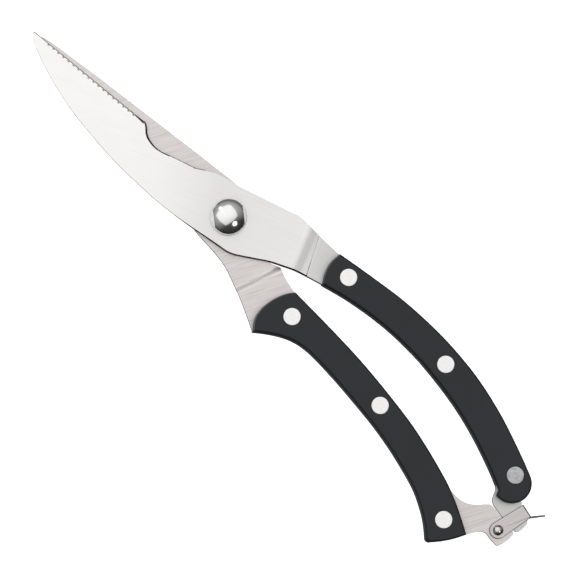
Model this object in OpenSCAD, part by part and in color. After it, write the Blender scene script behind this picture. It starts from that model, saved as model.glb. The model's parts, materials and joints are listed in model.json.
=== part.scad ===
// Poultry shears with full-tang handles. Two bent steel plates turn on a bolt under a domed nut, a torsion
// spring inside the nut opens them, and a folded clip at the handle ends holds them shut.
// Everything is drawn about the pivot: x runs to the handle ends, y to the upper handle and z to the nut.
// in_place() then moves it to the resting frame, centred over the faces it lies on.

/* [Overall] */
// Distance from the pivot to the blade tip
blade_length = 97; // [90:1:110]
// Distance from the pivot to the far edge of the lower tang
handle_length = 153.6; // [146:0.1:164]

/* [Blades] */
// Thickness of the blade and tang steel
steel_t = 2.5; // [2.2:0.1:2.8]
// Thickness of the blades at the tip
tip_t = 1.5; // [1:0.1:2]
// Space between the two blades
blade_gap = 0.1; // [0.06:0.01:0.2]
// Thickness left on the ground cutting edges
edge_land = 0.35; // [0.2:0.05:0.6]
// Width of the ground bevel along the cutting edges
bevel_w = 0.65; // [0.5:0.05:1.2]
// Number of fine serrations
serrations = 18; // [8:1:20]
// Distance between serrations
serration_pitch = 2.33; // [2:0.01:2.4]
// Width of each serration
serration_w = 0.9; // [0.6:0.1:1.2]

/* [Handles] */
// Thickness of each handle scale
scale_t = 5; // [4:0.5:6]
// Length of the offset bend in the upper tang
upper_bend = 6.2; // [5:0.1:7]
// Length of the offset bend in the lower tang
lower_bend = 3.2; // [2.6:0.1:3.6]

/* [Rivets] */
// Diameter of the flush rivet heads
rivet_head_d = 6.4; // [5.5:0.1:7]
// Thickness of the rivet heads
rivet_head_t = 1; // [0.8:0.1:1.5]
// Outside diameter of the rivet sleeve
rivet_sleeve_d = 4.8; // [4.4:0.1:5.2]
// Diameter of the rivet pin
rivet_pin_d = 3; // [2.4:0.1:3.4]

/* [Pivot] */
// Diameter of the nut, the washer and the bolt head
nut_d = 12.8; // [12.4:0.1:14]
// Distance across the two wrench flats
nut_flats = 10.8; // [10.6:0.1:11.4]
// Height of the domed nut
nut_h = 5.3; // [4.8:0.1:6]
// Direction that the wrench flats face
nut_angle = 55; // [0:5:180]
// Diameter of the washer
washer_d = 13.4; // [13:0.1:14.4]
// Thickness of the washer
washer_t = 0.4; // [0.3:0.05:0.6]
// Diameter of the bolt's journal in the upper blade
journal_d = 6; // [5.6:0.1:6.2]
// Diameter of the bolt's thread
thread_d = 4; // [3.5:0.1:4.4]
// Height of the bolt's low domed head
bolt_head_h = 2; // [1.6:0.1:2.4]

/* [Spring] */
// Wire diameter of the opening spring
spring_wire = 0.8; // [0.6:0.05:0.85]
// Mean coil radius of the opening spring
spring_r = 3.85; // [3.8:0.01:3.9]
// Number of turns in the opening spring
spring_turns = 1.75; // [1:0.25:1.75]

/* [Latch] */
// Thickness of the latch sheet
sheet_t = 0.7; // [0.5:0.05:0.8]
// Width of the clip at its bridge
clip_w = 5.3; // [4.8:0.1:5.4]
// Radius of the clip's round end
clip_end_r = 3.1; // [2.9:0.1:3.3]
// Length of the thumb tab
tab_l = 5.4; // [4:0.1:7]
// Diameter of the latch rivet's shank
latch_pin_d = 2.4; // [2:0.1:2.6]
// Diameter of the latch rivet's domed heads
latch_head_d = 3.9; // [3.6:0.1:4.4]

/* [Hidden] */
$fn = 48;
tall = 40;
overlap = 0.1;
play = 0.05;
press_play = 0.04;
side_play = 0.3;

upper_z = blade_gap / 2;
lower_z = -blade_gap / 2 - steel_t;
tang_z = -steel_t / 2;
scale_z = steel_t / 2;
handle_z = scale_z + scale_t;

upper_rivets = [[45.1, 17.3], [91.7, 22.3], [138, 14.1]];
lower_rivets = [[41.9, -7.3], [86.8, -5.2], [132.5, -15.8]];
ends = ["1", "2", "3"];

// ---- Curves ----

// Smooth curve through a list of points. It leaves out the last point, so that pieces of an outline join.
function curve(p, steps = 5) = [
    for (i = [0 : len(p) - 2], k = [0 : steps - 1])
        let (a = p[max(i - 1, 0)], b = p[i], c = p[i + 1], d = p[min(i + 2, len(p) - 1)], t = k / steps)
        0.5 * (2 * b + (c - a) * t + (2 * a - 5 * b + 4 * c - d) * t ^ 2 + (3 * b - a - 3 * c + d) * t ^ 3)
];

function arc(centre, r, from, to, steps = 14) = [
    for (k = [0 : steps])
        let (a = from + (to - from) * k / steps)
        centre + r * [cos(a), sin(a)]
];

// The outlines are drawn at these lengths. Blades stretch from the pivot, and handles between the first
// rivet and the last one, so the latch keeps its shape.
drawn_blade = 97;
drawn_handle = 153.6;
stretch_from = 46;
stretch_to = 130;
handle_shift = handle_length - drawn_handle;

function to_length(p) =
    p.x < 0 ? [p.x * blade_length / drawn_blade, p.y]
    : [p.x + handle_shift * min(max((p.x - stretch_from) / (stretch_to - stretch_from), 0), 1), p.y];
function all_to_length(points) = [for (p = points) to_length(p)];
function flip(p) = [p.x, -p.y];

// ---- Outlines, clockwise from the left ----

edge_tip = [-96.4, -6.9];
edge_heel = [-48, 0.4];
bone_notch = [[-48, 0.4], [-45.6, 0.8], [-43.8, 0.1], [-41.8, -1.4], [-39.5, -2.25], [-36.5, -2.55],
    [-33.6, -2], [-30, -0.5]];
upper_shoulder = [[-21, 3.1], [-18, 5.2], [-14, 7.6], [-9.5, 9.3], [-4.5, 10.7]];
upper_crown = [[14.5, 18.3], [17, 19.3], [20, 19.7]];
upper_rim = [[36.7, 20.7], [50, 23.7], [65, 26.6], [80, 28.1], [92, 28.3], [105, 27.4], [120, 24.6],
    [135, 20.3], [141.5, 18.1]];
upper_grip = [[136, 7], [130, 9.1], [120, 12], [110, 14.2], [100, 15.6], [88, 16.4], [80, 16.4], [70, 15.7],
    [60, 14.1], [50, 11.7], [40.6, 8.7]];
upper_waist = [[40.6, 8.7], [34, 6.3], [30, 4.6], [26, 2.4], [22, 0.1], [18, -2.9], [14, -5.9], [11, -8],
    [8.5, -9.1]];
upper_spine = [[8.5, -9.1], [-5, -12.1], [-18, -14.7], [-30, -16.1], [-42, -16.9], [-54, -16.8],
    [-66, -16.1], [-78, -14.2], [-88, -11.7], [-94, -9.4], [-96.9, -7.5]];
end_centre = [139.5, 11.3];
end_r = 7.1;

// The tongue's left end touches the clip's bridge first, so its load runs close to the latch rivet
tongue_top = [[147.4, 9.4], [147.8, 8.4], [153.2, 6.9], [154, 5.8]];
tongue_side = [[154.2, 4], [154.1, 1.9], [153.4, 0.9], [152.3, 0.75]];
tongue_root = [[146.4, 0.9], [142, 1.3], [140.3, 1.7], [139, 2.6], [138.2, 4], [137.4, 5.6]];

upper_blade_outline = all_to_length(concat(
    [edge_tip],
    curve(bone_notch),
    curve(upper_shoulder),
    curve(upper_crown),
    [[28, 20]],
    curve(upper_rim),
    arc(end_centre, end_r, 73, -12, 10),
    tongue_top,
    curve(tongue_side),
    curve(tongue_root),
    curve(upper_grip, 3),
    curve(upper_waist, 4),
    curve(upper_spine),
    [[-96.9, -7.5]]
));

upper_scale_outline = all_to_length(concat(
    curve(upper_rim, 4),
    arc(end_centre, end_r, 73, -95, 20),
    [[138, 6.1]],
    curve(upper_grip, 4),
    curve([[40.6, 8.7], [38.9, 11], [37.5, 13.6], [36.6, 17], [36.7, 20.7]], 4)
));

lower_spine = [[-93.6, -6.6], [-91, -5.3], [-80, -3], [-70, -1], [-60, 0.8], [-50, 2.6], [-42, 4],
    [-30, 6.3], [-20, 8.1], [-10, 9.8], [-4.5, 10.6], [2, 10.8], [9, 9.2], [16, 5.6], [21, 1.6]];
lower_collar = [[26, 1.9], [28, 1.1], [30.5, 0.4], [33, 0], [36.2, -0.5]];
lower_rim = [[36.2, -0.5], [50, 0.1], [60, 0.4], [70, 0.5], [80, 0.2], [90, -0.4], [100, -1.3], [110, -2.9],
    [120, -5], [125, -6.3]];
lower_scale_end = [[125, -6.3], [131, -8.4], [136.4, -10.7], [142, -13.3]];
lower_heel = [[142, -13.3], [141.2, -15.2], [139.6, -18.6], [137.4, -22], [135.4, -24.5]];
lower_neck = [[127.5, -6.5], [131, -6.3], [134, -5.2], [136.6, -3.2], [138.4, -0.9], [139.8, 0.5],
    [141.5, 0.9]];
lower_lobe = [[152, 0.3], [153.3, -0.2], [153.6, -1.8], [153.6, -3.8], [152.9, -7.2]];
lower_throat = [[149.3, -7.7], [146.4, -7.5], [144.6, -8.7], [143.2, -10.8], [142, -13.3]];
lower_grip = [[132.4, -24.2], [129, -21.7], [125, -19.4], [118, -16.4], [110, -14.4], [100, -12.6],
    [90, -11.5], [80, -11], [70, -10.7], [60, -10.8], [54, -11.3], [49, -12.6], [44.5, -14.9], [40, -18.2],
    [36.5, -21.3]];
lower_belly = [[36.5, -21.3], [32, -19.4], [26, -17], [20, -14.9], [12.5, -12.7], [6, -12.1], [-3, -12.1],
    [-10, -11.2], [-18, -9.6], [-26, -9]];
lower_edge_heel = [-26, -9];
lower_edge_tip = [-93.2, -8.1];
lower_tip = [-94, -7.3];
heel_corner = arc([134.2, -23.6], 1.6, -40, -120, 4);

lower_blade_outline = all_to_length(concat(
    curve(lower_spine, 3),
    [[22.6, 0.1]],
    curve(lower_collar, 3),
    curve(lower_rim, 3),
    [[125, -6.3]],
    curve(lower_neck, 4),
    [[146.4, 0.6]],
    curve(lower_lobe, 4),
    [[152.9, -7.2], [152.4, -7.6]],
    curve(lower_throat, 4),
    curve(lower_heel, 3),
    heel_corner,
    curve(lower_grip, 4),
    curve(lower_belly, 4),
    [lower_edge_heel, lower_edge_tip, lower_tip]
));

lower_scale_outline = all_to_length(concat(
    curve(lower_rim, 4),
    curve(lower_scale_end, 4),
    curve(lower_heel, 3),
    heel_corner,
    curve(lower_grip, 4),
    curve([[36.5, -21.3], [34.4, -19.1], [32.9, -16.4], [32.3, -13], [32.5, -9.4], [33.4, -5.8],
        [34.6, -2.9], [36.2, -0.5]], 4)
));

// ---- Tang bends: a point on each bend line and the direction that the tang runs across it ----

upper_bend_foot = [24.5, 12.3];
upper_bend_angle = 26;
lower_bend_foot = [22.3, -6.4];
lower_bend_angle = -15.3;

// ---- Latch layout ----

latch_pin = to_length([148.6, -3.5]);
clip_angle = -9.2;
bridge_y = 12;
plate_z = steel_t / 2 + side_play;
tab_angle = 64;
tab_foot = [clip_w / 2 - overlap, bridge_y + sheet_t / 2];

// ---- Resting frame ----

tab_reach = tab_foot.x * cos(clip_angle) - tab_foot.y * sin(clip_angle)
    + tab_l * cos(clip_angle + tab_angle);
x_low = min([for (p = upper_blade_outline) p.x]);
x_high = latch_pin.x + tab_reach + sheet_t / 2 * sin(clip_angle + tab_angle);
y_low = min([for (p = lower_blade_outline) p.y]);
y_high = max([for (p = upper_blade_outline) p.y]);

module in_place() {
    translate([-(x_low + x_high) / 2, -(y_low + y_high) / 2, handle_z]) children();
}

// ---- Steel ----

// Plate cut to an outline and stepped from one level to another across a straight bend
module bent_plate(outline, bend_foot, bend_angle, bend_l, from_z, to_z) {
    reach = 300;
    steps = 8;
    ramp = [
        for (k = [0 : steps])
            [bend_l * k / steps, from_z + (to_z - from_z) * (1 - cos(180 * k / steps)) / 2]
    ];
    below = concat([[-reach, from_z]], ramp, [[reach, to_z]]);
    above = [for (i = [len(below) - 1 : -1 : 0]) below[i] + [0, steel_t]];
    intersection() {
        translate([0, 0, -tall / 2])
            linear_extrude(tall)
                polygon(outline);
        translate([bend_foot.x, bend_foot.y, 0])
            rotate([90, 0, bend_angle])
                translate([0, 0, -reach / 2])
                    linear_extrude(reach)
                        polygon(concat(below, above));
    }
}

// Wedge that thins a plate's face toward the tip
module distal_taper(face_z) {
    taper_from = -14;
    fall = atan((steel_t - tip_t) / (blade_length + taper_from));
    translate([taper_from, 0, face_z])
        rotate([0, -fall, 0])
            translate([-2 * blade_length, -tall, 0])
                cube([2 * blade_length, 2 * tall, tall]);
}

// Prism that grinds a bevel to the left of the line from one point to another
module edge_bevel(from, to, inner_z) {
    slope = (steel_t - edge_land) / bevel_w;
    over = 2;
    run = to - from;
    translate([from.x, from.y, inner_z])
        rotate([90, 0, 90 + atan2(run.y, run.x)])
            translate([0, 0, -over])
                linear_extrude(norm(run) + 2 * over)
                    polygon([
                        [-bevel_w, steel_t],
                        [over, edge_land - over * slope],
                        [over, steel_t + over],
                        [-bevel_w, steel_t + over]
                    ]);
}

// Row of scallops ground into the bevel behind the tip
module serration_row(from, to, inner_z) {
    first = 7;
    extra_lean = 4;
    facet_turn = 100;
    run = to - from;
    lean = atan(bevel_w / (steel_t - edge_land)) + extra_lean;
    translate([from.x, from.y, inner_z + edge_land])
        rotate([0, 0, atan2(run.y, run.x)])
            for (i = [0 : serrations - 1])
                translate([first + i * serration_pitch, 0, 0])
                    rotate([lean, 0, 0])
                        rotate([0, 0, facet_turn])
                            translate([0, 0, -2])
                                cylinder(d = serration_w, h = 6, $fn = 20);
}

// Holes for the rivet sleeves, wider above head_z for the flush heads
module rivet_holes(places, head_z = tall) {
    sleeve_r = rivet_sleeve_d / 2 + play;
    head_r = rivet_head_d / 2 + play;
    facet_turn = 37;
    for (p = places)
        translate([to_length(p).x, p.y, 0])
            rotate_extrude(start = facet_turn)
                polygon([
                    [0, -tall / 2],
                    [sleeve_r, -tall / 2],
                    [sleeve_r, head_z],
                    [head_r, head_z],
                    [head_r, 2 * tall],
                    [0, 2 * tall]
                ]);
}

module upper_blade() {
    color("gainsboro")
        in_place()
            difference() {
                difference() {
                    bent_plate(
                        upper_blade_outline,
                        upper_bend_foot,
                        upper_bend_angle,
                        upper_bend,
                        upper_z,
                        tang_z
                    );
                    distal_taper(upper_z + steel_t);
                    edge_bevel(to_length(edge_tip), to_length(edge_heel), upper_z);
                }
                serration_row(to_length(edge_tip), to_length(edge_heel), upper_z);
                rivet_holes(upper_rivets);
                translate([0, 0, -tall / 2])
                    cylinder(d = journal_d + 2 * play, h = tall);
                spring_leg_hole();
            }
}

module lower_blade() {
    color("gainsboro")
        in_place()
            difference() {
                bent_plate(
                    lower_blade_outline,
                    lower_bend_foot,
                    lower_bend_angle,
                    lower_bend,
                    lower_z,
                    tang_z
                );
                mirror([0, 0, 1])
                    distal_taper(steel_t + blade_gap / 2);
                rotate([180, 0, 0])
                    edge_bevel(flip(to_length(lower_edge_tip)), flip(to_length(lower_edge_heel)), upper_z);
                rivet_holes(lower_rivets);
                square_neck(play, lower_z - 1, 1);
                translate([latch_pin.x, latch_pin.y, -tall / 2])
                    cylinder(d = latch_pin_d + press_play, h = tall);
            }
}

// ---- Handle scales ----

module handle_scale(outline, rivets) {
    color([0.2, 0.2, 0.21])
        difference() {
            translate([0, 0, scale_z])
                linear_extrude(scale_t)
                    polygon(outline);
            rivet_holes(rivets, handle_z - rivet_head_t);
        }
}

module upper_front_scale() {
    in_place()
        handle_scale(upper_scale_outline, upper_rivets);
}

module upper_back_scale() {
    in_place()
        mirror([0, 0, 1])
            handle_scale(upper_scale_outline, upper_rivets);
}

module lower_front_scale() {
    in_place()
        handle_scale(lower_scale_outline, lower_rivets);
}

module lower_back_scale() {
    in_place()
        mirror([0, 0, 1])
            handle_scale(lower_scale_outline, lower_rivets);
}

// ---- Cutler's rivets: a pin from the front pressed into a sleeve from the back ----

rivet_pin_reach = 2 * handle_z - 2 * rivet_head_t;
rivet_pin_gap = 1.5;
sleeve_floor = 0.5;

module rivet_pin(place) {
    color("whitesmoke")
        in_place()
            translate([to_length(place).x, place.y, handle_z - rivet_head_t]) {
                cylinder(d = rivet_head_d, h = rivet_head_t);
                translate([0, 0, rivet_pin_gap - rivet_pin_reach])
                    cylinder(d = rivet_pin_d, h = rivet_pin_reach - rivet_pin_gap + overlap);
            }
}

module rivet_sleeve(place) {
    color("whitesmoke")
        in_place()
            translate([to_length(place).x, place.y, -handle_z])
                difference() {
                    union() {
                        cylinder(d = rivet_head_d, h = rivet_head_t);
                        cylinder(d = rivet_sleeve_d, h = rivet_pin_reach + rivet_head_t - play);
                    }
                    translate([0, 0, rivet_head_t + sleeve_floor])
                        cylinder(d = rivet_pin_d + press_play, h = tall);
                }
}

// ---- Pivot ----

washer_z = upper_z + steel_t + play;
nut_z = washer_z + washer_t;
hub_d = 6.6;
hollow_d = 9.1;
coil_gap = 0.15;
spring_pitch = spring_wire + coil_gap;
spring_z = washer_z + spring_wire / 2 + play;
hollow_h = spring_z + spring_turns * spring_pitch + spring_wire / 2 + coil_gap - nut_z;
spring_start_angle = 200;
spring_end_angle = spring_start_angle + 360 * spring_turns;
leg_drop = 1.8;
leg_d = spring_wire + 0.2;
leg_end = 0.5;
thread_crown = 1.3;
neck_step = 0.2;

module square_neck(extra, from, to) {
    w = journal_d + 2 * extra;
    translate([-w / 2, -w / 2, from])
        cube([w, w, to - from]);
}

// Low spherical cap standing on z = 0
module cap(d, h) {
    r = (h ^ 2 + (d / 2) ^ 2) / (2 * h);
    rise = asin(d / 2 / r);
    steps = 10;
    rotate_extrude($fn = 72)
        polygon(concat(
            [[0, 0]],
            [for (k = [steps : -1 : 0]) r * [sin(rise * k / steps), cos(rise * k / steps)] - [0, r - h]]
        ));
}

module pivot_bolt() {
    color("silver")
        in_place() {
            translate([0, 0, lower_z])
                mirror([0, 0, 1])
                    cap(nut_d, bolt_head_h);
            square_neck(0, lower_z - neck_step, -overlap);
            translate([0, 0, -neck_step])
                cylinder(d = journal_d, h = nut_z + neck_step);
            translate([0, 0, nut_z - overlap])
                cylinder(d = thread_d, h = nut_h - thread_crown - overlap);
        }
}

module pivot_nut() {
    color("silver")
        in_place()
            translate([0, 0, nut_z])
                difference() {
                    intersection() {
                        nut_dome();
                        rotate([0, 0, nut_angle])
                            translate([-nut_flats / 2, -nut_d, 0])
                                cube([nut_flats, 2 * nut_d, tall]);
                    }
                    translate([0, 0, -1])
                        cylinder(d = thread_d + press_play, h = nut_h - thread_crown + 1);
                    difference() {
                        translate([0, 0, -1])
                            cylinder(d = hollow_d, h = hollow_h + 1);
                        translate([0, 0, -2])
                            cylinder(d = hub_d, h = tall);
                    }
                    rotate([0, 0, spring_end_angle])
                        translate([spring_r, 0, 0])
                            cylinder(d = leg_d, h = hollow_h + leg_end);
                }
}

// Solid dome with a straight rim
module nut_dome() {
    rim_h = 2.3;
    cylinder(d = nut_d, h = rim_h, $fn = 72);
    translate([0, 0, rim_h])
        cap(nut_d, nut_h - rim_h);
}

module pivot_washer() {
    color("darkgray")
        in_place()
            translate([0, 0, washer_z])
                difference() {
                    cylinder(d = washer_d, h = washer_t, $fn = 72);
                    translate([0, 0, -1])
                        cylinder(d = hollow_d, h = 2);
                }
}

// ---- Opening spring ----

module spring_leg_hole() {
    rotate([0, 0, spring_start_angle])
        translate([spring_r, 0, upper_z + steel_t - leg_drop])
            cylinder(d = leg_d, h = leg_drop + 1);
}

// Round bar swept along a helix, with a straight leg into the blade and another into the nut
module opening_spring() {
    around = 8;
    per_turn = 24;
    turns = round(spring_turns * per_turn);
    coil = [
        for (k = [0 : turns])
            let (a = spring_start_angle + 360 * k / per_turn)
            [spring_r * cos(a), spring_r * sin(a), spring_z + spring_pitch * k / per_turn]
    ];
    ring = [
        for (k = [0 : turns], s = [0 : around - 1])
            let (
                a = spring_start_angle + 360 * k / per_turn,
                b = 360 * s / around,
                r = spring_r + spring_wire / 2 * cos(b)
            )
            [r * cos(a), r * sin(a), coil[k].z + spring_wire / 2 * sin(b)]
    ];
    sides = [
        for (k = [0 : turns - 1], s = [0 : around - 1])
            let (t = (s + 1) % around)
            [k * around + s, k * around + t, (k + 1) * around + t, (k + 1) * around + s]
    ];
    first_cap = [for (s = [around - 1 : -1 : 0]) s];
    last_cap = [for (s = [0 : around - 1]) turns * around + s];
    color("dimgray")
        in_place() {
            polyhedron(ring, concat([first_cap], sides, [last_cap]));
            translate([coil[0].x, coil[0].y, spring_z - leg_drop])
                cylinder(d = spring_wire, h = leg_drop + overlap, $fn = 16);
            translate([coil[turns].x, coil[turns].y, coil[turns].z - overlap])
                cylinder(d = spring_wire, h = spring_wire / 2 + leg_end + overlap, $fn = 16);
        }
}

// ---- Latch ----

tab_root = 0.3;
latch_head_h = 1.3;

module clip_plate() {
    linear_extrude(sheet_t)
        difference() {
            union() {
                circle(r = clip_end_r);
                polygon([
                    [-clip_end_r, 0],
                    [-clip_w / 2, bridge_y + sheet_t],
                    [clip_w / 2, bridge_y + sheet_t],
                    [clip_end_r, 0]
                ]);
            }
            circle(d = latch_pin_d + 2 * play);
        }
}

module latch_clip() {
    color("silver")
        in_place()
            translate([latch_pin.x, latch_pin.y, 0])
                rotate([0, 0, clip_angle]) {
                    for (side = [0, 1])
                        mirror([0, 0, side])
                            translate([0, 0, plate_z])
                                clip_plate();
                    translate([-clip_w / 2, bridge_y, -plate_z - overlap])
                        cube([clip_w, sheet_t, 2 * (plate_z + overlap)]);
                    translate([tab_foot.x, tab_foot.y, -plate_z - sheet_t])
                        rotate([0, 0, tab_angle])
                            translate([-tab_root, -sheet_t / 2, 0])
                                cube([tab_l + tab_root, sheet_t, 2 * (plate_z + sheet_t)]);
                }
}

module latch_rivet() {
    head_z = plate_z + sheet_t + play;
    color("silver")
        in_place()
            translate([latch_pin.x, latch_pin.y, 0]) {
                translate([0, 0, -head_z - overlap])
                    cylinder(d = latch_pin_d, h = 2 * (head_z + overlap));
                for (side = [0, 1])
                    mirror([0, 0, side])
                        translate([0, 0, head_z])
                            cap(latch_head_d, latch_head_h);
            }
}

// ---- What is drawn ----

upper_blade();
lower_blade();
upper_front_scale();
upper_back_scale();
lower_front_scale();
lower_back_scale();
for (i = [0 : 2]) {
    rivet_pin(upper_rivets[i]);
    rivet_pin(lower_rivets[i]);
    rivet_sleeve(upper_rivets[i]);
    rivet_sleeve(lower_rivets[i]);
}
pivot_bolt();
pivot_nut();
pivot_washer();
opening_spring();
latch_clip();
latch_rivet();
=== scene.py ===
import json
import math

import bmesh
import bpy
from mathutils import Matrix, Vector


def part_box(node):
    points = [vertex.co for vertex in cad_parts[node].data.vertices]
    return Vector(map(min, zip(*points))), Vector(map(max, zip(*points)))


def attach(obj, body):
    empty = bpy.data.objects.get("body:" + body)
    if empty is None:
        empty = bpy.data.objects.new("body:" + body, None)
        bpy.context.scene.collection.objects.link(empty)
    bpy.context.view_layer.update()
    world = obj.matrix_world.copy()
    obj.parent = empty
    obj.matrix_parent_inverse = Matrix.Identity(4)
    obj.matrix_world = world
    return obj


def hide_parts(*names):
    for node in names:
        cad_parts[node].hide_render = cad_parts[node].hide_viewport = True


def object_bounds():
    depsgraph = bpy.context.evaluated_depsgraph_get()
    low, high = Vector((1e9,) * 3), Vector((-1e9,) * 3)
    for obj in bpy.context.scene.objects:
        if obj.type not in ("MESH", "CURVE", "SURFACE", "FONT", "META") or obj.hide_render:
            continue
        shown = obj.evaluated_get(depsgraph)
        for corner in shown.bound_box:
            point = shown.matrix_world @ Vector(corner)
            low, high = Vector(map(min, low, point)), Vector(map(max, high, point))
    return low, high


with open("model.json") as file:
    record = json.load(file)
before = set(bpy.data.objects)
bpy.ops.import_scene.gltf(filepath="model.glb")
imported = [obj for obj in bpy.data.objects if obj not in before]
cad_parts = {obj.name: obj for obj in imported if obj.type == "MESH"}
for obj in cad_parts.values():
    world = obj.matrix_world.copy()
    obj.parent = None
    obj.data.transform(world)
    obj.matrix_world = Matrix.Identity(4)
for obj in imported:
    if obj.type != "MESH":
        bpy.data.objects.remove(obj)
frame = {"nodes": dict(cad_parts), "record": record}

MM = 0.001
cad_low, cad_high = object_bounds()

BODY_OF = {n: body for body, nodes in frame["record"]["behaviour"]["bodies"].items() for n in nodes}


def centre(node):
    low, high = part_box(node)
    return (low + high) / 2


# The tool's own frame: the pivot's axis is at x = y = 0, and z = 0 is midway between the blades
nut_low, nut_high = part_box("pivot_nut")
washer_low, washer_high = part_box("pivot_washer")
bolt_low, bolt_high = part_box("pivot_bolt")
handle_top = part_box("upper_front_scale")[1].z
handle_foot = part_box("upper_back_scale")[0].z
PIVOT = Vector((centre("pivot_washer").x, centre("pivot_washer").y, (handle_top + handle_foot) / 2))


def at(x, y, z=0.0):
    """A point given in millimetres from the pivot, in the row frame."""
    return PIVOT + Vector((x, y, z)) * MM


def level(z):
    """A height of the row frame in millimetres from mid-plane."""
    return (z - PIVOT.z) / MM


HANDLE_FACE = level(handle_top)


# ---- Materials ----


def new_material(name, **values):
    mat = bpy.data.materials.new(name)
    mat.use_nodes = True
    shader = mat.node_tree.nodes["Principled BSDF"]
    for key, value in values.items():
        shader.inputs[key.replace("_", " ")].default_value = value
    return mat, mat.node_tree, shader


def add(tree, kind, inputs=None, **props):
    """Adds a shader node. A value in inputs is a constant or another node's output."""
    made = tree.nodes.new("ShaderNode" + kind)
    for key, value in props.items():
        setattr(made, key, value)
    for key, value in (inputs or {}).items():
        if isinstance(value, bpy.types.NodeSocket):
            tree.links.new(value, made.inputs[key])
        else:
            made.inputs[key].default_value = value
    return made


def ramp(tree, factor, stops):
    """A colour ramp of (position, grey or colour) stops."""
    made = add(tree, "ValToRGB", {"Fac": factor})
    bar = made.color_ramp
    while len(bar.elements) < len(stops):
        bar.elements.new(0.5)
    for element, (place, value) in zip(bar.elements, stops):
        element.position = place
        element.color = (*value, 1) if isinstance(value, tuple) else (value, value, value, 1)
    return made.outputs["Color"]


def noise(tree, coords, scale, detail=4.0, rough=0.5, distort=0.0):
    made = add(tree, "TexNoise", {
        "Vector": coords, "Scale": scale, "Detail": detail, "Roughness": rough, "Distortion": distort})
    return made.outputs["Fac"]


def mapped(tree, coords, angle=0.0, scale=(1, 1, 1), move=(0, 0, 0)):
    """Coordinates moved, turned about Z and scaled, so that x runs along the angle."""
    turn = (0, 0, -math.radians(angle))
    shifted = add(tree, "Mapping", {"Vector": coords, "Location": move, "Rotation": turn})
    return add(tree, "Mapping", {"Vector": shifted.outputs["Vector"], "Scale": scale}).outputs["Vector"]


def mix(tree, factor, a, b, mode="MIX"):
    made = add(tree, "Mix", data_type="RGBA", blend_type=mode)
    for index, value in ((0, factor), (6, a), (7, b)):
        if isinstance(value, bpy.types.NodeSocket):
            tree.links.new(value, made.inputs[index])
        else:
            made.inputs[index].default_value = value
    return made.outputs[2]


def spread(tree, value, low, high):
    """Maps 0..1 to low..high."""
    made = add(tree, "MapRange", {"Value": value, "To Min": low, "To Max": high})
    return made.outputs["Result"]


def bump(tree, shader, height, strength, distance, under=None):
    made = add(tree, "Bump", {"Height": height, "Strength": strength, "Distance": distance})
    if under is not None:
        tree.links.new(under, made.inputs["Normal"])
    tree.links.new(made.outputs["Normal"], shader.inputs["Normal"])
    return made.outputs["Normal"]


# Brushed steel: lines across the grain in each metre, fine and broad, and how soft the finish of bare metal is
FINE_LINES, BROAD_LINES, THROUGH_FINE, THROUGH_BROAD = 2800, 1300, 600, 300
CLOUDS, METAL_IOR, BRUSHED_PULL = 55, 2.5, 0.35

# Where the painted light and shade on the steel along the tool start and end, in mm from the pivot, and the way
# they run. The way is square to the bend line of the front tang.
PAINTED_LIGHT_FROM, PAINTED_LIGHT_TO = -100, 160
PAINTED_LIGHT_RUN = Vector((0.866, 0.5, 0))


def steel(name, tint, shine, angle, grain, stretch=60, wave=0.0, painted_light=None, metal=1.0):
    """Brushed stainless steel. grain is how strongly the brushing shows, and angle the way it runs. The optional
    (place, factor) stops paint light and shade into its colour along the tool, with the place in mm from the pivot."""
    mat, tree, shader = new_material(name, Metallic=metal, IOR=METAL_IOR)
    coords = add(tree, "TexCoord").outputs["Object"]
    along = mapped(tree, coords, angle, (stretch, FINE_LINES, THROUGH_FINE))
    fine = noise(tree, along, 1.0, 3, 0.55, wave)
    beside = mapped(tree, coords, angle, (stretch / 2, BROAD_LINES, THROUGH_BROAD), (0.3, 0.1, 0))
    broad = noise(tree, beside, 1.0, 3, 0.5, wave)
    cloud = noise(tree, coords, CLOUDS, 3, 0.5)
    both = mix(tree, 0.3, fine, broad)
    darker = tuple(c * (1 - 0.34 * grain) for c in tint)
    lighter = tuple(min(1, c * (1 + 0.16 * grain)) for c in tint)
    colour = ramp(tree, both, [(0.34, darker), (0.5, tint), (0.66, lighter)])
    colour = mix(tree, spread(tree, cloud, 0.0, 0.12), colour, (*[c * 0.8 for c in tint], 1))
    # Painted light and shade: the colour is multiplied by the stops along the tool.
    if painted_light:
        reach = add(tree, "VectorMath", {0: coords, 1: PAINTED_LIGHT_RUN}, operation="DOT_PRODUCT").outputs["Value"]
        pivot_reach = PIVOT.dot(PAINTED_LIGHT_RUN)
        along_tool = add(tree, "MapRange", {
            "Value": reach, "From Min": pivot_reach + PAINTED_LIGHT_FROM * MM, "From Max": pivot_reach + PAINTED_LIGHT_TO * MM})
        stops = [((place - PAINTED_LIGHT_FROM) / (PAINTED_LIGHT_TO - PAINTED_LIGHT_FROM), value) for place, value in painted_light]
        colour = mix(tree, 1.0, colour, ramp(tree, along_tool.outputs["Result"], stops), "MULTIPLY")
    tree.links.new(colour, shader.inputs["Base Color"])
    rough = add(tree, "Math", {
        0: spread(tree, both, shine - 0.08 * grain, shine + 0.1 * grain), 1: spread(tree, cloud, -0.04, 0.05)},
        operation="ADD")
    tree.links.new(rough.outputs[0], shader.inputs["Roughness"])
    shader.inputs["Anisotropic"].default_value = BRUSHED_PULL
    bump(tree, shader, both, 0.12 + 0.3 * grain, 0.02 * MM)
    return mat


SCUFF_COLOUR = (0.06, 0.06, 0.062, 1)


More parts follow.
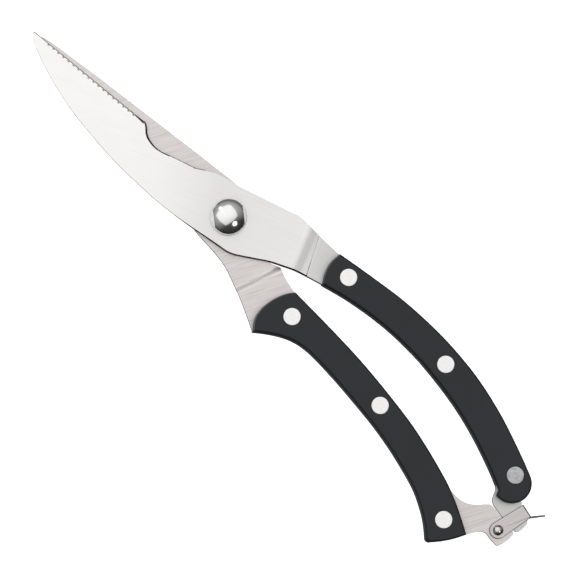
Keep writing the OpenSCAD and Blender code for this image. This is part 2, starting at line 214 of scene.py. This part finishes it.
def moulded(name, dark, light):
    """Moulded handle plastic, faintly mottled between two colours, with fine scuffs."""
    mat, tree, shader = new_material(name, Specular_IOR_Level=0.36)
    coords = add(tree, "TexCoord").outputs["Object"]
    cloud = noise(tree, coords, 70, 4, 0.6)
    colour = ramp(tree, cloud, [(0.3, dark), (0.7, light)])
    scuff_a = noise(tree, mapped(tree, coords, -62, (120, 2600, 700)), 1.0, 5, 0.7, 0.6)
    scuff_b = noise(tree, mapped(tree, coords, 15, (160, 2300, 700), (0.2, 0.4, 0)), 1.0, 5, 0.7, 0.8)
    patch = noise(tree, mapped(tree, coords, 0, (1, 1, 1), (0.07, 0.03, 0)), 60, 2, 0.5)
    lines = add(tree, "Math", {
        0: ramp(tree, scuff_a, [(0.66, 0.0), (0.74, 1.0)]), 1: ramp(tree, scuff_b, [(0.67, 0.0), (0.76, 1.0)])},
        operation="MAXIMUM").outputs[0]
    patches = ramp(tree, patch, [(0.5, 0.0), (0.68, 0.7)])
    marks = add(tree, "Math", {0: lines, 1: patches}, operation="MULTIPLY").outputs[0]
    colour = mix(tree, marks, colour, SCUFF_COLOUR)
    tree.links.new(colour, shader.inputs["Base Color"])
    rough = add(tree, "Math", {0: spread(tree, cloud, 0.36, 0.47), 1: marks}, operation="ADD")
    rough.use_clamp = True
    tree.links.new(rough.outputs[0], shader.inputs["Roughness"])
    pits = noise(tree, coords, 2600, 3, 0.6)
    waves = noise(tree, coords, 120, 2, 0.5)
    under = bump(tree, shader, pits, 0.12, 0.03 * MM)
    bump(tree, shader, waves, 0.2, 0.2 * MM, under)
    return mat


def turned_metal(name, tint, shine, rings, depth, blotch=0.15, contrast=0.12):
    """Lathe-turned metal. rings is how many tool marks a metre of radius has and depth how strongly they show.
    They run about each piece's own axis. blotch is how much darker its blotches are, and contrast how much the
    marks change its colour."""
    mat, tree, shader = new_material(name, Metallic=1.0, IOR=METAL_IOR)
    coords = add(tree, "TexCoord").outputs["Object"]
    flat = add(tree, "VectorMath", {0: coords, 1: (1, 1, 0)}, operation="MULTIPLY").outputs["Vector"]
    radius = add(tree, "VectorMath", {0: flat}, operation="LENGTH").outputs["Value"]
    lines = noise(tree, add(tree, "CombineXYZ", {"X": radius}).outputs["Vector"], rings, 3, 0.6)
    cloud = noise(tree, coords, 700, 5, 0.65)
    darker = tuple(c * (1 - blotch) for c in tint)
    colour = ramp(tree, cloud, [(0.36, darker), (0.6, tint)])
    colour = mix(tree, contrast, colour, ramp(tree, lines, [(0.35, 0.45), (0.6, 0.9)]))
    tree.links.new(colour, shader.inputs["Base Color"])
    rough = add(tree, "Math", {
        0: spread(tree, lines, shine - 0.04, shine + 0.05), 1: spread(tree, cloud, -0.05, 0.06)},
        operation="ADD")
    tree.links.new(rough.outputs[0], shader.inputs["Roughness"])
    bump(tree, shader, lines, depth, 0.02 * MM)
    return mat


# The front blade's stops are painted light and shade: lighter toward the tip, darker at the pivot and down the tang
# toward the handle, with a painted highlight line at 29.3 mm on the joggle and painted shade just past it.
front_steel = steel("front_blade_steel", (0.945, 0.938, 0.921), 0.36, 26, 0.1, painted_light=[
    (-90, 1.0), (-50, 0.99), (-30, 0.96), (-14, 0.89), (-6, 0.83), (24, 0.86), (27, 0.87), (29.3, 0.99),
    (31, 0.95), (33.0, 0.82), (33.6, 0.7), (42, 0.66), (120, 0.62)])
# The back blade's stops are painted shade: darker beside the pivot and toward the handle's end.
back_steel = steel("back_blade_steel", (0.7, 0.655, 0.645), 0.34, 66, 0.5, 90, 0.6, painted_light=[
    (-90, 1.0), (-30, 1.0), (-10, 0.95), (26, 0.98), (100, 0.98), (115, 0.95)])
# The ground edges are painted near black, a painted dark reflection and shadow line along the blade's edges.
ground_edge_painted_dark = steel("ground_edge_painted_dark_steel", (0.05, 0.048, 0.045), 0.5, 8, 0.4)
# The gullets and the spine's underside are painted a light matt grey in place of the reflection the steel shows.
gullets_painted_light_grey = steel("gullets_painted_light_grey_steel", (0.48, 0.475, 0.465), 0.5, 8, 0.15, metal=0.0)
# The serration lands and the clip's sides are painted dark grey, a painted shadow and dark reflection.
edges_painted_dark = steel("edges_painted_dark_steel", (0.2, 0.19, 0.185), 0.4, 80, 0.4)
clip_steel = steel("latch_sheet_steel", (0.57, 0.535, 0.525), 0.27, 80, 0.3)
washer_steel = turned_metal("washer_steel", (0.72, 0.72, 0.71), 0.3, 2600, 0.3)
polished = turned_metal("polished_nut_steel", (0.85, 0.85, 0.84), 0.14, 900, 0.02, 0.05, 0.03)
ball_steel = turned_metal("ball_rivet_steel", (0.66, 0.66, 0.65), 0.17, 3000, 0.05, 0.1, 0.04)
rivet_metal = turned_metal("handle_rivet_metal", (0.97, 0.955, 0.945), 0.42, 2600, 0.35, 0.07, 0.06)
worn_rivet_metal = turned_metal("worn_rivet_metal", (0.5, 0.5, 0.515), 0.36, 2600, 0.4, 0.35)
spring_wire = turned_metal("spring_wire_steel", (0.4, 0.4, 0.4), 0.3, 900, 0.2)
plastic = moulded("black_handle_plastic", (0.0108, 0.0132, 0.0168), (0.0148, 0.0178, 0.0225))
# A lighter plastic painted on the scales' front rims, a painted reflection.
rim_painted_reflection = moulded("rim_painted_reflection_plastic", (0.06, 0.062, 0.064), (0.16, 0.165, 0.17))


# ---- Pieces ----


def finish_piece(obj, node, slot, *mats):
    """Puts a piece in the place of a CAD node, on the node's body."""
    bpy.context.scene.collection.objects.link(obj)
    for mat in mats:
        obj.data.materials.append(mat)
    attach(obj, BODY_OF[node])
    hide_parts(node)
    return obj


# A face at least this large is a flat of the part. SAME_FLAT and SAME_CURVE are cosines of the turn within which a
# small face is shaded with a flat, or with the small faces beside it. Points closer than SAME_POINT are joined.
# Faces of a CAD node within COPLANAR of each other are joined, and an edge that turns SHARP_FROM degrees is sharp.
FLAT_AREA = 30 * MM ** 2
SAME_FLAT, SAME_CURVE = 0.6, 0.82
SAME_POINT = 0.001 * MM
COPLANAR = math.radians(0.6)
SHARP_FROM = 28


def settle(obj, paint):
    """Applies the bevels. A large flat face then keeps its own normal, and only the small faces are blended. paint
    gives the material number of a small face from its middle in mm, its normal and its area in mm2."""
    bpy.context.scene.collection.objects.link(obj)
    bpy.context.view_layer.update()
    mesh = bpy.data.meshes.new_from_object(obj.evaluated_get(bpy.context.evaluated_depsgraph_get()))
    bpy.context.scene.collection.objects.unlink(obj)
    obj.modifiers.clear()
    obj.data = mesh
    bm = bmesh.new()
    bm.from_mesh(mesh)
    bmesh.ops.remove_doubles(bm, verts=bm.verts, dist=SAME_POINT)
    for edge in bm.edges:
        edge.smooth = True
    area = {face: face.calc_area() for face in bm.faces}
    normals = []
    for face in bm.faces:
        face.smooth = True
        if paint:
            middle = (face.calc_center_median() - PIVOT) / MM
            face.material_index = paint(middle, face.normal, area[face] / MM ** 2)
        for loop in face.loops:
            if area[face] >= FLAT_AREA:
                normals.append(face.normal.copy())
                continue
            around = [(f.normal.dot(face.normal), f) for f in loop.vert.link_faces]
            flats = [(turn, f) for turn, f in around if area[f] >= FLAT_AREA and turn > SAME_FLAT]
            if flats:
                normals.append(max(flats, key=lambda pair: pair[0])[1].normal.copy())
                continue
            total = Vector((0, 0, 0))
            for turn, f in around:
                if turn > SAME_CURVE:
                    total += f.normal * area[f]
            normals.append(total.normalized() if total.length > 0 else face.normal.copy())
    bm.to_mesh(mesh)
    bm.free()
    mesh.normals_split_custom_set(normals)


def node_bmesh(node):
    """The CAD node's mesh with its flat faces joined again."""
    bm = bmesh.new()
    bm.from_mesh(frame["nodes"][node].data)
    bmesh.ops.remove_doubles(bm, verts=bm.verts, dist=SAME_POINT)
    bmesh.ops.dissolve_limit(bm, angle_limit=COPLANAR, verts=bm.verts, edges=bm.edges)
    bmesh.ops.recalc_face_normals(bm, faces=bm.faces)
    return bm


def soften(bm, width_at):
    """Gives each sharp outer edge a bevel weight, and returns the widest bevel in mm. width_at gives an edge's
    width in mm from its middle in mm and the edge."""
    layer = bm.edges.layers.float.new("bevel_weight_edge")
    widths = {}
    for edge in bm.edges:
        if len(edge.link_faces) != 2 or not edge.is_convex:
            continue
        if math.degrees(edge.calc_face_angle(0)) < SHARP_FROM:
            continue
        middle = (edge.verts[0].co + edge.verts[1].co) / 2
        width = width_at((middle - PIVOT) / MM, edge)
        if width > 0:
            widths[edge] = width
    widest = max(widths.values())
    for edge, width in widths.items():
        edge[layer] = width / widest
    return widest


def softened(node, name, slot, mats, width_at, segments=3, cuts=(), clamp=True, paint=None):
    """A CAD node's shape with its outer edges rounded. cuts change the mesh first."""
    bm = node_bmesh(node)
    for cut in cuts:
        cut(bm)
    widest = soften(bm, width_at)
    mesh = bpy.data.meshes.new(name)
    bm.to_mesh(mesh)
    bm.free()
    obj = bpy.data.objects.new(name, mesh)
    bevel = obj.modifiers.new("bevel", "BEVEL")
    bevel.limit_method = "WEIGHT"
    bevel.width = widest * MM
    bevel.segments = segments
    bevel.use_clamp_overlap = clamp
    settle(obj, paint)
    return finish_piece(obj, node, slot, *mats)


TURNED_SHARP = math.radians(38)


def turned(name, place, profile, sides=96):
    """A solid of revolution. profile is (radius, z) or (radius, z, "square") in mm, from one end of the axis to
    the other, or round a closed ring when it doesn't touch the axis."""
    bm = bmesh.new()
    rings = []
    for point in profile:
        radius, z = point[:2]
        if radius == 0:
            rings.append([bm.verts.new((0, 0, z * MM))])
            continue
        ring = []
        for k in range(sides):
            a = 2 * math.pi * k / sides
            r = radius / max(abs(math.cos(a)), abs(math.sin(a))) if len(point) > 2 else radius
            ring.append(bm.verts.new((r * math.cos(a) * MM, r * math.sin(a) * MM, z * MM)))
        rings.append(ring)
    pairs = list(zip(rings, rings[1:]))
    if len(rings[0]) > 1:
        pairs.append((rings[-1], rings[0]))
    for low, high in pairs:
        if len(low) == len(high) == 1:
            continue
        for k in range(sides):
            n = (k + 1) % sides
            corners = [low[k % len(low)], low[n % len(low)], high[n % len(high)], high[k % len(high)]]
            bm.faces.new(list(dict.fromkeys(corners)))
    bmesh.ops.recalc_face_normals(bm, faces=bm.faces)
    mesh = bpy.data.meshes.new(name)
    bm.to_mesh(mesh)
    bm.free()
    mesh.shade_smooth()
    mesh.set_sharp_from_angle(angle=TURNED_SHARP)
    obj = bpy.data.objects.new(name, mesh)
    obj.location = place
    return obj


def dome(radius, height, foot, steps, from_rim=True):
    """(radius, z) points on a spherical cap that stands on z = foot."""
    ball = (height ** 2 + radius ** 2) / (2 * height)
    rise = math.asin(min(1, radius / ball))
    points = []
    for k in range(steps + 1):
        a = rise * (1 - k / steps)
        points.append((ball * math.sin(a), foot + ball * math.cos(a) - (ball - height)))
    points[-1] = (0, foot + height)
    return points if from_rim else points[::-1]


# Handle scales: rounded on the outer rim, with a crisp rivet hole
HALVES, RIVETS = ("upper", "lower"), (1, 2, 3)
rivet_spots = {half: [(centre(f"{half}_rivet_pin_{n}") - PIVOT) / MM for n in RIVETS] for half in HALVES}
HEAD_HOLE_REACH, TANG_HOLE_REACH, PIVOT_HOLE_REACH = 3.6, 4, 5.5
RIM_W, HOLE_W, INNER_W = 0.95, 0.14, 0.1
SCALE_FRONT_X = 44


def near_rivet(point, half, reach):
    return any(math.hypot(point.x - s.x, point.y - s.y) < reach for s in rivet_spots[half])


def scale_rim(half, side):
    def width(point, edge):
        outside = abs(point.z - HANDLE_FACE * side) < 0.05
        if near_rivet(point, half, HEAD_HOLE_REACH):
            return HOLE_W if outside else 0
        return RIM_W if outside else INNER_W

    return width


def scale_paint(point, normal, area):
    """The rim's slope at the scale's front end is painted lighter, a painted reflection on the rounded edge."""
    return 1 if point.x < SCALE_FRONT_X and normal.x < -0.25 and 0.35 < abs(normal.z) < 0.8 else 0


for half in HALVES:
    for word, side in (("front", 1), ("back", -1)):
        softened(f"{half}_{word}_scale", f"{half}_handle_{word}", "scale_black", [plastic, rim_painted_reflection],
                 scale_rim(half, side), 5, paint=scale_paint)


# The front blade's cutting edge, in mm: its ends, the way it runs, and the way out from it
EDGE_TIP, EDGE_HEEL = Vector((-96.4, -6.9, 0)), Vector((-48, 0.4, 0))
EDGE_RUN = (EDGE_HEEL - EDGE_TIP).normalized()
EDGE_OUT = Vector((-EDGE_RUN.y, EDGE_RUN.x, 0))

# Its flat land's height, how far in its ground slope runs, and heights of the blade's back and of its middle
EDGE_LAND, EDGE_SLOPE, BACK_OF_FRONT, MID_STEEL = 0.35, 1.6, 0.05, 1

# Where the features of the front blade start and end, in mm from the pivot
FEET_FROM, FEET_TO = -93, -48.2
TIP_X, TEETH_END = -97, -51.5
NOTCH_FROM, NOTCH_DEEP, NOTCH_FADE, NOTCH_TO, NOTCH_Y = -48, -41, -25, -17, -4
SHOULDER_TO, SHOULDER_Y = 14, 4
WAIST_FROM, WAIST_TO, WAIST_Y = -8, 45, 9.5
SPINE_TO = -12

# Widths of the ground edges in mm, and the cosines from upright that tell a side, a bevel and a flat face apart
EDGE_W, SHOULDER_W, NOTCH_W, NOTCH_EXTRA_W, NOTCH_LESS_W, WAIST_EXTRA_W = 0.1, 0.04, 0.42, 0.36, 0.3, 0.42
SIDE_COS, BEVEL_COS = 0.93, 0.975
# Material numbers of the front blade: brushed, ground edge painted dark, painted light grey, and serration lands
# painted dark.
BRUSHED, GROUND_PAINTED_DARK, PAINTED_LIGHT_GREY, TOOTHED_PAINTED_DARK = 0, 1, 2, 3


def from_edge(point):
    """How far a point in mm stands out from the cutting edge's line."""
    return (Vector((point.x, point.y, 0)) - EDGE_TIP).dot(EDGE_OUT)


def slope_gullets(bm):
    """Brings the foot of each serration out to the cutting edge, so the edge runs straight past them."""
    for vert in bm.verts:
        point = (vert.co - PIVOT) / MM
        out = from_edge(point)
        low = point.z < BACK_OF_FRONT + EDGE_LAND + 0.03
        if low and FEET_FROM < point.x < FEET_TO and -1.2 < out < -0.01:
            vert.co -= EDGE_OUT * out * MM


def keeps_sharp(point, edge, half):
    """Upright edges and the rims of the holes stay as they are."""
    upright = abs((edge.verts[0].co - edge.verts[1].co).z) > 0.5 * MM
    return upright or near_rivet(point, half, TANG_HOLE_REACH) or math.hypot(point.x, point.y) < PIVOT_HOLE_REACH


def upper_edges(point, edge):
    """A soft grind on every edge of the front blade, wider round the bone notch and along the waist."""
    if keeps_sharp(point, edge, "upper"):
        return 0
    if point.x < NOTCH_FROM and from_edge(point) > -EDGE_SLOPE:
        return 0
    in_front = point.z > MID_STEEL
    if in_front and NOTCH_FROM < point.x < NOTCH_TO and point.y > NOTCH_Y:
        extra = NOTCH_EXTRA_W * max(0, 1 - abs(point.x - NOTCH_DEEP) / 7)
        less = NOTCH_LESS_W * max(0, (point.x - NOTCH_FADE) / 8)
        return NOTCH_W + extra - less
    if NOTCH_TO <= point.x < SHOULDER_TO and point.y > SHOULDER_Y:
        return SHOULDER_W
    if in_front and WAIST_FROM < point.x < WAIST_TO and point.y < WAIST_Y:
        return EDGE_W + WAIST_EXTRA_W * min(1, (point.x - WAIST_FROM) / 12)
    return EDGE_W


def upper_paint(point, normal, area):
    """Which of the front blade's materials a face has. The edge bevels and serration lands are painted dark, a
    painted shadow and dark reflection, and the gullets and the spine's underside a painted light grey reflection.
    """
    steep = abs(normal.z) < SIDE_COS
    # Steep faces along the cutting edge: the gullets painted light grey, the lands painted dark.
    if TIP_X < point.x < NOTCH_FROM and -EDGE_SLOPE < from_edge(point) < 0.2 and steep:
        aside = abs(normal.dot(EDGE_RUN)) > 0.12
        if area < 2 and from_edge(point) < (-0.15 if aside else -0.3):
            return PAINTED_LIGHT_GREY
        return TOOTHED_PAINTED_DARK if point.x < TEETH_END else GROUND_PAINTED_DARK
    # The spine's underside is painted light grey, a painted reflection in place of its dark edge line.
    if point.x < SPINE_TO and steep and normal.y < -0.3 and point.y < 0:
        return PAINTED_LIGHT_GREY
    # The notch's and the waist's bevels are painted dark, a painted shadow and dark reflection line.
    if NOTCH_FROM <= point.x < NOTCH_TO - 1 and point.y > NOTCH_Y and -0.1 < normal.z < BEVEL_COS and normal.y > 0:
        return GROUND_PAINTED_DARK
    if WAIST_FROM < point.x < WAIST_TO and point.y < WAIST_Y and 0.1 < normal.z < BEVEL_COS:
        return GROUND_PAINTED_DARK
    return BRUSHED


def lower_edges(point, edge):
    return 0 if keeps_sharp(point, edge, "lower") else EDGE_W


def crease(start, end, half, depth):
    """Presses a shallow line into the front of a plate, from one point to another. half is half its width, and all
    are in mm."""
    def cut(bm):
        foot = at(*start)
        run = (at(*end) - foot).normalized()
        across = Vector((run.y, -run.x, 0))
        for step in (-half, 0, half):
            bmesh.ops.bisect_plane(bm, geom=bm.verts[:] + bm.edges[:] + bm.faces[:], dist=1e-7,
                                   plane_co=foot + across * step * MM, plane_no=across)
        for vert in bm.verts:
            near = abs((vert.co - foot).dot(across)) < 1e-6
            if near and any(f.normal.z > 0.7 for f in vert.link_faces):
                vert.co.z -= depth * MM
    return cut


tang_crease = crease((27, 20), (34.5, 7), 0.2, 0.095)
softened("upper_blade", "front_blade", "blade_steel", [front_steel, ground_edge_painted_dark, gullets_painted_light_grey, edges_painted_dark],
         upper_edges, 3, [slope_gullets, tang_crease], False, upper_paint)
softened("lower_blade", "back_blade", "blade_steel", [back_steel], lower_edges, 3, (), False)

# Cutler's rivets, flush with the handle scales
HEAD_R, HEAD_T, PIN_R, SLEEVE_R = 3.2, 1.0, 1.5, 2.4
HEAD_FOOT = HANDLE_FACE - HEAD_T
PIN_FOOT, SLEEVE_TOP, SLEEVE_FLOOR, BORE_R = 1.5 - HEAD_FOOT, HEAD_FOOT - 0.05, 0.5 - HEAD_FOOT, PIN_R + 0.02
head_face = [(r, HANDLE_FACE - below) for r, below in (
    (0, 0.04), (1.3, 0.035), (2.3, 0.025), (HEAD_R - 0.3, 0.015), (HEAD_R - 0.16, 0.03), (HEAD_R - 0.06, 0.1),
    (HEAD_R - 0.02, 0.22), (HEAD_R - 0.02, HEAD_T))]
pin_profile = head_face + [(PIN_R, HEAD_FOOT), (PIN_R, PIN_FOOT), (0, PIN_FOOT)]
sleeve_profile = [(r, -z) for r, z in head_face] + [
    (SLEEVE_R, -HEAD_FOOT), (SLEEVE_R, SLEEVE_TOP), (BORE_R, SLEEVE_TOP), (BORE_R, SLEEVE_FLOOR), (0, SLEEVE_FLOOR)]
for half in HALVES:
    for n, spot in zip(RIVETS, rivet_spots[half]):
        front_metal = worn_rivet_metal if (half, n) == ("upper", 3) else rivet_metal
        pin = turned(f"{half}_rivet_{n}_front", at(spot.x, spot.y), pin_profile)
        finish_piece(pin, f"{half}_rivet_pin_{n}", "rivet_steel", front_metal)
        sleeve = turned(f"{half}_rivet_{n}_back", at(spot.x, spot.y), sleeve_profile)
        finish_piece(sleeve, f"{half}_rivet_sleeve_{n}", "rivet_steel", rivet_metal)

# Domed nut: turned, then two wrench flats cut and their edges softened
nut_foot, nut_top = level(nut_low.z), level(nut_high.z)
NUT_R, NUT_FLATS, NUT_ANGLE, RIM_H = 6.4, 10.8, 55, 2.3
HOLLOW_R, HUB_R, THREAD_R, HOLLOW_H, THREAD_H = 4.55, 3.3, 2.02, 2.35, 4
NUT_BEVEL = 0.26
nut = turned("pivot_dome_nut", at(0, 0), [
    (HOLLOW_R, nut_foot), (NUT_R - 0.1, nut_foot), (NUT_R, nut_foot + 0.1), (NUT_R, nut_foot + RIM_H - 0.1),
    (NUT_R - 0.02, nut_foot + RIM_H)]
    + dome(NUT_R - 0.08, nut_top - nut_foot - RIM_H, nut_foot + RIM_H, 40)
    + [(0, nut_foot + THREAD_H), (THREAD_R, nut_foot + THREAD_H), (THREAD_R, nut_foot), (HUB_R, nut_foot),
       (HUB_R, nut_foot + HOLLOW_H), (HOLLOW_R, nut_foot + HOLLOW_H)], 144)


def cut_flat(obj, angle, reach):
    """Cuts one straight side off a turned piece and fills it."""
    bm = bmesh.new()
    bm.from_mesh(obj.data)
    layers = bm.edges.layers.float
    layer = layers.get("bevel_weight_edge") or layers.new("bevel_weight_edge")
    away = Vector((math.cos(math.radians(angle)), math.sin(math.radians(angle)), 0))
    bmesh.ops.bisect_plane(bm, geom=bm.verts[:] + bm.edges[:] + bm.faces[:], dist=1e-7,
                           plane_co=away * reach * MM, plane_no=away, clear_outer=True)
    rim = [e for e in bm.edges if e.is_boundary]
    made = bmesh.ops.contextual_create(bm, geom=rim)["faces"]
    for face in made:
        face.smooth = False
    for edge in rim:
        edge[layer] = 1.0
    bmesh.ops.recalc_face_normals(bm, faces=bm.faces)
    bm.to_mesh(obj.data)
    bm.free()


for side in (0, 180):
    cut_flat(nut, NUT_ANGLE + side, NUT_FLATS / 2)
nut_bevel = nut.modifiers.new("bevel", "BEVEL")
nut_bevel.limit_method = "WEIGHT"
nut_bevel.width = NUT_BEVEL * MM
nut_bevel.segments = 2
finish_piece(nut, "pivot_nut", "pivot_steel", polished)

washer_foot, washer_top = level(washer_low.z), level(washer_high.z)
WASHER_R = (washer_high.x - washer_low.x) / 2 / MM
washer = turned("pivot_flat_washer", at(0, 0), [
    (HOLLOW_R, washer_foot), (WASHER_R - 0.06, washer_foot), (WASHER_R, washer_foot + 0.06),
    (WASHER_R, washer_top - 0.12), (WASHER_R - 0.04, washer_top - 0.04), (WASHER_R - 0.12, washer_top),
    (HOLLOW_R, washer_top)])
finish_piece(washer, "pivot_washer", "pivot_steel", washer_steel)

# Bolt: a low dome at the back, a square neck in the lower blade, and a round journal in the upper one
HEAD_H, NECK_R, NECK_TOP, JOURNAL_R, STUD_R = 2.0, 3.0, -0.1, 2.96, 2.0
blade_under, bolt_top = level(bolt_low.z) + HEAD_H, level(bolt_high.z)
bolt = turned("pivot_bolt_body", at(0, 0), [
    (r, 2 * blade_under - z) for r, z in dome(NUT_R, HEAD_H, blade_under, 16, False)] + [
    (NECK_R, blade_under, "square"), (NECK_R, NECK_TOP, "square"), (JOURNAL_R, NECK_TOP),
    (JOURNAL_R, washer_top), (STUD_R, washer_top), (STUD_R, bolt_top), (0, bolt_top)])
finish_piece(bolt, "pivot_bolt", "pivot_steel", washer_steel)

# Only the spring's coil is drawn. The CAD node's lower leg stands in the front blade but rides on the lower half,
# so it would cut into the front blade as the shears open.
bm = node_bmesh("opening_spring")
for vert in bm.verts:
    vert.co.z = max(vert.co.z, at(0, 0, washer_foot - 0.02).z)
coil_mesh = bpy.data.meshes.new("opening_spring_coil")
bm.to_mesh(coil_mesh)
bm.free()
coil_mesh.shade_smooth()
coil_mesh.set_sharp_from_angle(angle=math.radians(50))
coil = bpy.data.objects.new("opening_spring_coil", coil_mesh)
finish_piece(coil, "opening_spring", "spring_steel", spring_wire)


# Latch: a folded clip with soft sheet edges and a round fold, on a rivet with ball heads
latch_spot = (centre("latch_rivet") - PIVOT) / MM
CLIP_ANGLE, CLIP_HALF_W, BRIDGE_Y, SHEET = -9.2, 2.4, 12.0, 0.7
CLIP_HOLE_REACH, CLIP_W, FOLD_W = 2, 0.34, 0.62
clip_face = level(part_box("latch_clip")[1].z)
plate_under = clip_face - SHEET


def in_clip(point):
    """The point in the clip's own directions: x across it, y along it from the rivet."""
    a = math.radians(-CLIP_ANGLE)
    x, y = point.x - latch_spot.x, point.y - latch_spot.y
    return x * math.cos(a) - y * math.sin(a), x * math.sin(a) + y * math.cos(a)


def clip_edges(point, edge):
    x, y = in_clip(point)
    if math.hypot(x, y) < CLIP_HOLE_REACH or abs(abs(point.z) - clip_face) >= 0.02:
        return 0
    folded = y > BRIDGE_Y + SHEET - 0.05 and abs(x) < CLIP_HALF_W
    return FOLD_W if folded else CLIP_W


def clip_paint(point, normal, area):
    """The sheet's sides are painted darker than its faces, a painted shadow and dark reflection round the clip."""
    return 1 if abs(normal.z) < SIDE_COS and area < 3 and abs(point.z) > plate_under - 0.1 else 0


softened("latch_clip", "latch_folded_clip", "latch_steel", [clip_steel, edges_painted_dark], clip_edges, 4, (), False,
         clip_paint)

BALL_R, BALL_H, SHANK_R = 1.95, 1.3, 1.2
ball_foot = clip_face + 0.05
ball = dome(BALL_R, BALL_H, ball_foot, 20, False)
shank = [(SHANK_R, ball_foot), (SHANK_R, -ball_foot)]
latch_rivet = turned("latch_ball_rivet", at(latch_spot.x, latch_spot.y),
                     ball + shank + [(r, -z) for r, z in ball[::-1]], 72)
finish_piece(latch_rivet, "latch_rivet", "latch_steel", ball_steel)

# ---- Studio ----

FLOOR_HALF, FLOOR_DROP = 3, 0.02
floor_mat, floor_tree, floor_shader = new_material(
    "pale_floor", Roughness=0.8, Emission_Color=(1, 1, 1, 1), Emission_Strength=0.9)
floor_coords = add(floor_tree, "TexCoord").outputs["Object"]
floor_tone = ramp(floor_tree, noise(floor_tree, floor_coords, 3, 2), [(0.3, 0.93), (0.7, 0.95)])
floor_tree.links.new(floor_tone, floor_shader.inputs["Base Color"])
bm = bmesh.new()
bmesh.ops.create_grid(bm, x_segments=4, y_segments=4, size=FLOOR_HALF)
floor_mesh = bpy.data.meshes.new("floor")
bm.to_mesh(floor_mesh)
bm.free()
floor = bpy.data.objects.new("floor", floor_mesh)
floor.location = (0, 0, cad_low.z - FLOOR_DROP * MM)
floor_mesh.materials.append(floor_mat)
bpy.context.scene.collection.objects.link(floor)
floor.visible_glossy = False

# The directions of the picture's sides on the ground, and the point it is centred on
IMAGE_RIGHT = Vector((0.669, 0.743, 0))
IMAGE_UP = Vector((-0.743, 0.669, 0))
AIM = at(33.3, -1.0)


def soft_light(name, right, up, high, size, power, wide=0):
    """A soft box, placed in metres to the picture's right, up it, and above the tool. It is round unless wide
    gives it a width of its own."""
    data = bpy.data.lights.new(name, "AREA")
    data.shape = "RECTANGLE" if wide else "DISK"
    data.size = wide or size
    data.size_y = size
    data.energy = power
    lamp = bpy.data.objects.new(name, data)
    lamp.location = AIM + IMAGE_RIGHT * right + IMAGE_UP * up + Vector((0, 0, high))
    aim = AIM - lamp.location
    lamp.rotation_mode = "QUATERNION"
    lamp.rotation_quaternion = aim.to_track_quat("-Z", "Y")
    lamp.visible_camera = False
    bpy.context.scene.collection.objects.link(lamp)


soft_light("key", -0.17, 0.21, 0.95, 1.95, 8.2, 2.2)
soft_light("right_card", 0.62, -0.66, 0.85, 0.5, 1.5)
soft_light("left_card", -0.97, 1.08, 0.68, 0.35, 0.8)

# The room: lighter overhead than at the horizon, and darker toward the picture's lower right
world = bpy.data.worlds.new("studio")
bpy.context.scene.world = world
world.use_nodes = True
sky = world.node_tree
toward = add(sky, "TexCoord").outputs["Generated"]


def sky_ramp(way, stops):
    """Shades the room along a direction, from -1 behind it to 1 ahead."""
    value = add(sky, "VectorMath", {0: toward, 1: way}, operation="DOT_PRODUCT").outputs["Value"]
    return ramp(sky, add(sky, "MapRange", {"Value": value, "From Min": -1.0}).outputs["Result"], stops)


tall = sky_ramp((0, 0, 1), [(0.3, 0.12), (0.5, 0.18), (0.57, 0.36), (0.75, 0.5), (1.0, 0.6)])
lean = sky_ramp(IMAGE_UP - IMAGE_RIGHT * 0.5, [(0.15, 0.1), (0.5, 0.75), (0.85, 1.0)])
sky.links.new(mix(sky, 1.0, tall, lean, "MULTIPLY"), sky.nodes["Background"].inputs["Color"])
bpy.context.scene.view_settings.view_transform = "Standard"

# Camera: how far above the tool, how far to its side, and how wide a field it sees there, in mm
DISTANCE, SIDE_STEP, FIELD, SENSOR = 2400, -193, 207.4, 36
camera_data = bpy.data.cameras.new("camera")
camera = bpy.data.objects.new("camera", camera_data)
bpy.context.scene.collection.objects.link(camera)
camera.location = AIM + Vector((0, SIDE_STEP, DISTANCE)) * MM
view = (AIM - camera.location).normalized()
right = (IMAGE_RIGHT - view * IMAGE_RIGHT.dot(view)).normalized()
up = right.cross(view)
camera.rotation_mode = "QUATERNION"
camera.rotation_quaternion = Matrix((right, up, -view)).transposed().to_quaternion()
camera_data.sensor_width = SENSOR
camera_data.lens = SENSOR * (AIM - camera.location).length / (FIELD * MM)
camera_data.clip_start = 0.01
bpy.context.scene.camera = camera
